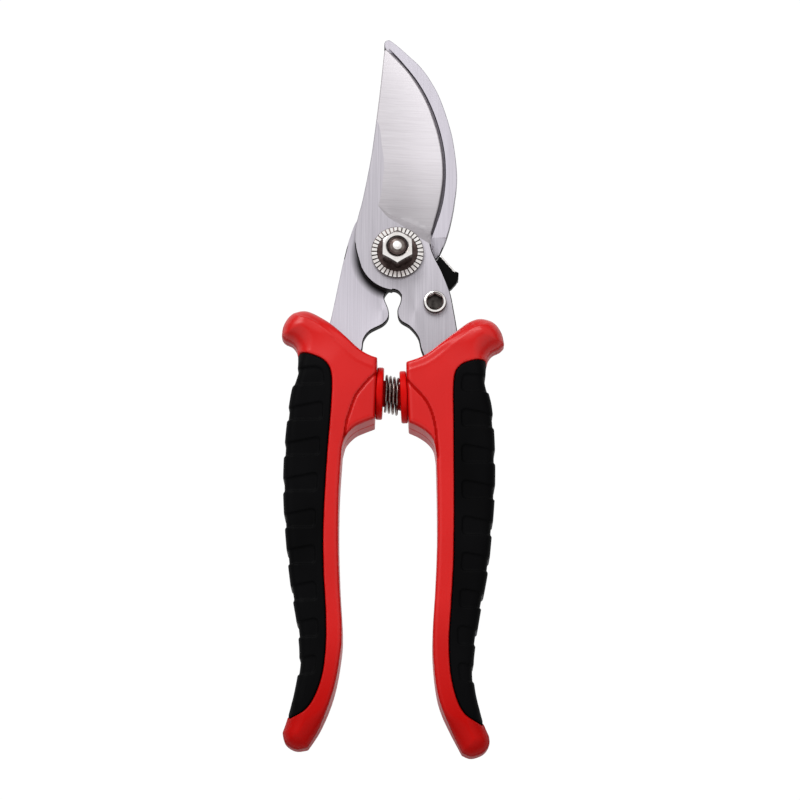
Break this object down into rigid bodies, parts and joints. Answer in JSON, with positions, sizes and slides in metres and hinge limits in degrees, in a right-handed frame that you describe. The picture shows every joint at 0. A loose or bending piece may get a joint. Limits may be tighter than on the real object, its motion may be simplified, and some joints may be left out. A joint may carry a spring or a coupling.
{
  "type": "bypass pruning shears",
  "caption": "Bypass hand pruners: curved cutting blade over a hooked counter-blade, spring-opened red and black handles, thumb catch.",
  "frame": {"origin": "on the pivot axis, at the flat outer face of the pivot bolt's head", "axes": "+Y towards the blade's tip, +X towards the handle of the cutting blade, +Z out of the nut's side"},
  "size_m": [0.0604, 0.2001, 0.0181],
  "materials": {
    "blade_steel": "fine brushed along the tool",
    "plated_steel": "bright nickel plating",
    "catch_steel": "black satin",
    "spring_steel": "drawn wire",
    "red_moulding": "satin gloss",
    "soft_grip": "matte",
    "insert_nylon": "matte"
  },
  "bodies": {
    "hook_side": {"hook_plate": "blade_steel", "left_handle_body": "red_moulding", "left_grip": "soft_grip", "left_spring_seat": "red_moulding", "opening_spring": "spring_steel", "pivot_bolt": "plated_steel", "rear_washer": "plated_steel", "serrated_washer": "plated_steel", "pivot_nut": "plated_steel", "nut_lock_insert": "insert_nylon"},
    "blade_side": {"blade_plate": "blade_steel", "right_handle_body": "red_moulding", "right_grip": "soft_grip", "right_spring_seat": "red_moulding", "catch_screw": "plated_steel", "catch_wave_washer": "plated_steel", "catch_nut": "plated_steel"},
    "catch": {"lock_catch": "catch_steel"}
  },
  "joints": [
    {"name": "blade_pivot", "type": "hinge", "parent": "hook_side", "child": "blade_side", "pos_m": [0, 0, 0.0075], "axis": [0, 0, 1], "range_deg": [0, 28], "stiffness_Nm_per_rad": 1.4, "springref_deg": 41.83, "deforming": ["opening_spring"]},
    {"name": "catch_pivot", "type": "hinge", "parent": "blade_side", "child": "catch", "pos_m": [0.0102, -0.0142, 0.0063], "axis": [0, 0, 1], "range_deg": [-28, 0]}
  ],
  "couplings": [
    {"joint": "catch_pivot", "follows": "blade_pivot", "ratio": -1}
  ]
}
